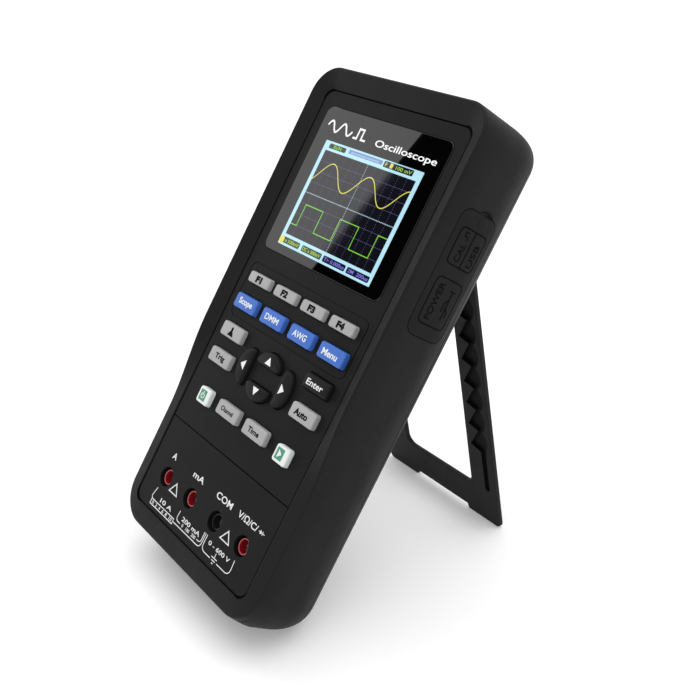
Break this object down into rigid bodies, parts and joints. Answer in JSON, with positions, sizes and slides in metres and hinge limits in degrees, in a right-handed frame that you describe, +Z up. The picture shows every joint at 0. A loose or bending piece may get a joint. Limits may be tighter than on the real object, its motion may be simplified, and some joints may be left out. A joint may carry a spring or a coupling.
{
  "type": "handheld oscilloscope",
  "caption": "Handheld oscilloscope and multimeter leaning on a fold-out stand, with a display, a keypad that presses, test-lead sockets, coaxial connectors and a side flap.",
  "frame": {"origin": "centre of the footprint, on the surface the device stands on", "axes": "+X to the right seen from the front, +Y from the display towards the stand, +Z up; the case leans back about its lower rear edge"},
  "size_m": [0.098, 0.1368, 0.1846],
  "materials": {
    "case_rubberised_black": "soft-touch matte",
    "cell_sleeve": "heat-shrink sleeve",
    "flap_rubber": "matte",
    "fuse_glass": "clear tube",
    "insulator_black": "moulded",
    "jack_red": "moulded",
    "key_black": "satin",
    "key_blue": "satin",
    "key_grey": "satin",
    "key_white": "satin",
    "lcd_glass": "glass over a colour display",
    "lens_gloss_black": "polished",
    "nickel_plate": "nickel plate",
    "panel_black": "fine matte",
    "pcb_green": "solder mask",
    "ptfe_white": "smooth",
    "screw_steel": "zinc plate",
    "silicone_grey": "matte"
  },
  "bodies": {
    "case": {"front_case": "case_rubberised_black", "rear_case": "case_rubberised_black", "front_panel": "panel_black", "jack_panel": "panel_black", "display_lens": "lens_gloss_black", "lcd_module": "lcd_glass", "keypad_membrane": "silicone_grey", "main_pcb": "pcb_green", "jack_housing": "insulator_black", "jack_insulator_amp": "jack_red", "jack_contact_amp": "nickel_plate", "jack_insulator_milliamp": "jack_red", "jack_contact_milliamp": "nickel_plate", "jack_insulator_common": "insulator_black", "jack_contact_common": "nickel_plate", "jack_insulator_volt": "jack_red", "jack_contact_volt": "nickel_plate", "connector_bay": "panel_black", "bnc_body_1": "nickel_plate", "bnc_insulator_1": "ptfe_white", "bnc_body_2": "nickel_plate", "bnc_insulator_2": "ptfe_white", "bnc_body_3": "nickel_plate", "bnc_insulator_3": "ptfe_white", "battery_tray": "insulator_black", "battery_cell_left": "cell_sleeve", "battery_cell_right": "cell_sleeve", "battery_door": "case_rubberised_black", "case_screw_upper_left": "screw_steel", "case_screw_upper_right": "screw_steel", "case_screw_lower_left": "screw_steel", "case_screw_lower_right": "screw_steel", "battery_door_screw": "screw_steel", "power_socket": "nickel_plate", "usb_socket": "nickel_plate", "fuse": "fuse_glass", "buzzer": "insulator_black", "stand_rod": "screw_steel"},
    "key_f1": {"key_f1": "key_grey"},
    "key_f2": {"key_f2": "key_grey"},
    "key_f3": {"key_f3": "key_grey"},
    "key_f4": {"key_f4": "key_grey"},
    "key_scope": {"key_scope": "key_blue"},
    "key_dmm": {"key_dmm": "key_blue"},
    "key_generator": {"key_generator": "key_blue"},
    "key_menu": {"key_menu": "key_blue"},
    "key_measure": {"key_measure": "key_grey"},
    "key_enter": {"key_enter": "key_black"},
    "key_trigger": {"key_trigger": "key_grey"},
    "key_auto": {"key_auto": "key_grey"},
    "key_power": {"key_power": "key_white"},
    "key_channel": {"key_channel": "key_grey"},
    "key_time": {"key_time": "key_grey"},
    "key_run": {"key_run": "key_white"},
    "key_up": {"key_up": "key_black"},
    "key_down": {"key_down": "key_black"},
    "key_left": {"key_left": "key_black"},
    "key_right": {"key_right": "key_black"},
    "kickstand": {"kickstand": "case_rubberised_black"},
    "port_cover": {"port_cover": "flap_rubber"}
  },
  "joints": [
    {"name": "key_f1_press", "type": "slide", "parent": "case", "child": "key_f1", "axis": [0, 0.8415, -0.5402], "range_m": [0, 0.0008], "stiffness_N_per_m": 1900},
    {"name": "key_f2_press", "type": "slide", "parent": "case", "child": "key_f2", "axis": [0, 0.8415, -0.5402], "range_m": [0, 0.0008], "stiffness_N_per_m": 1900},
    {"name": "key_f3_press", "type": "slide", "parent": "case", "child": "key_f3", "axis": [0, 0.8415, -0.5402], "range_m": [0, 0.0008], "stiffness_N_per_m": 1900},
    {"name": "key_f4_press", "type": "slide", "parent": "case", "child": "key_f4", "axis": [0, 0.8415, -0.5402], "range_m": [0, 0.0008], "stiffness_N_per_m": 1900},
    {"name": "key_scope_press", "type": "slide", "parent": "case", "child": "key_scope", "axis": [0, 0.8415, -0.5402], "range_m": [0, 0.0008], "stiffness_N_per_m": 1900},
    {"name": "key_dmm_press", "type": "slide", "parent": "case", "child": "key_dmm", "axis": [0, 0.8415, -0.5402], "range_m": [0, 0.0008], "stiffness_N_per_m": 1900},
    {"name": "key_generator_press", "type": "slide", "parent": "case", "child": "key_generator", "axis": [0, 0.8415, -0.5402], "range_m": [0, 0.0008], "stiffness_N_per_m": 1900},
    {"name": "key_menu_press", "type": "slide", "parent": "case", "child": "key_menu", "axis": [0, 0.8415, -0.5402], "range_m": [0, 0.0008], "stiffness_N_per_m": 1900},
    {"name": "key_measure_press", "type": "slide", "parent": "case", "child": "key_measure", "axis": [0, 0.8415, -0.5402], "range_m": [0, 0.0008], "stiffness_N_per_m": 1900},
    {"name": "key_enter_press", "type": "slide", "parent": "case", "child": "key_enter", "axis": [0, 0.8415, -0.5402], "range_m": [0, 0.0008], "stiffness_N_per_m": 1900},
    {"name": "key_trigger_press", "type": "slide", "parent": "case", "child": "key_trigger", "axis": [0, 0.8415, -0.5402], "range_m": [0, 0.0008], "stiffness_N_per_m": 1900},
    {"name": "key_auto_press", "type": "slide", "parent": "case", "child": "key_auto", "axis": [0, 0.8415, -0.5402], "range_m": [0, 0.0008], "stiffness_N_per_m": 1900},
    {"name": "key_power_press", "type": "slide", "parent": "case", "child": "key_power", "axis": [0, 0.8415, -0.5402], "range_m": [0, 0.0008], "stiffness_N_per_m": 1900},
    {"name": "key_channel_press", "type": "slide", "parent": "case", "child": "key_channel", "axis": [0, 0.8415, -0.5402], "range_m": [0, 0.0008], "stiffness_N_per_m": 1900},
    {"name": "key_time_press", "type": "slide", "parent": "case", "child": "key_time", "axis": [0, 0.8415, -0.5402], "range_m": [0, 0.0008], "stiffness_N_per_m": 1900},
    {"name": "key_run_press", "type": "slide", "parent": "case", "child": "key_run", "axis": [0, 0.8415, -0.5402], "range_m": [0, 0.0008], "stiffness_N_per_m": 1900},
    {"name": "key_up_press", "type": "slide", "parent": "case", "child": "key_up", "axis": [0, 0.8415, -0.5402], "range_m": [0, 0.0008], "stiffness_N_per_m": 1900},
    {"name": "key_down_press", "type": "slide", "parent": "case", "child": "key_down", "axis": [0, 0.8415, -0.5402], "range_m": [0, 0.0008], "stiffness_N_per_m": 1900},
    {"name": "key_left_press", "type": "slide", "parent": "case", "child": "key_left", "axis": [0, 0.8415, -0.5402], "range_m": [0, 0.0008], "stiffness_N_per_m": 1900},
    {"name": "key_right_press", "type": "slide", "parent": "case", "child": "key_right", "axis": [0, 0.8415, -0.5402], "range_m": [0, 0.0008], "stiffness_N_per_m": 1900},
    {"name": "kickstand_hinge", "type": "hinge", "parent": "case", "child": "kickstand", "pos_m": [0, 0.04131, 0.12374], "axis": [1, 0, 0], "range_deg": [-44.5, 0]},
    {"name": "port_cover_hinge", "type": "hinge", "parent": "case", "child": "port_cover", "pos_m": [0.049, 0.00586, 0.11025], "axis": [0, 0.8415, -0.5402], "range_deg": [0, 100], "stiffness_Nm_per_rad": 0.003}
  ]
}
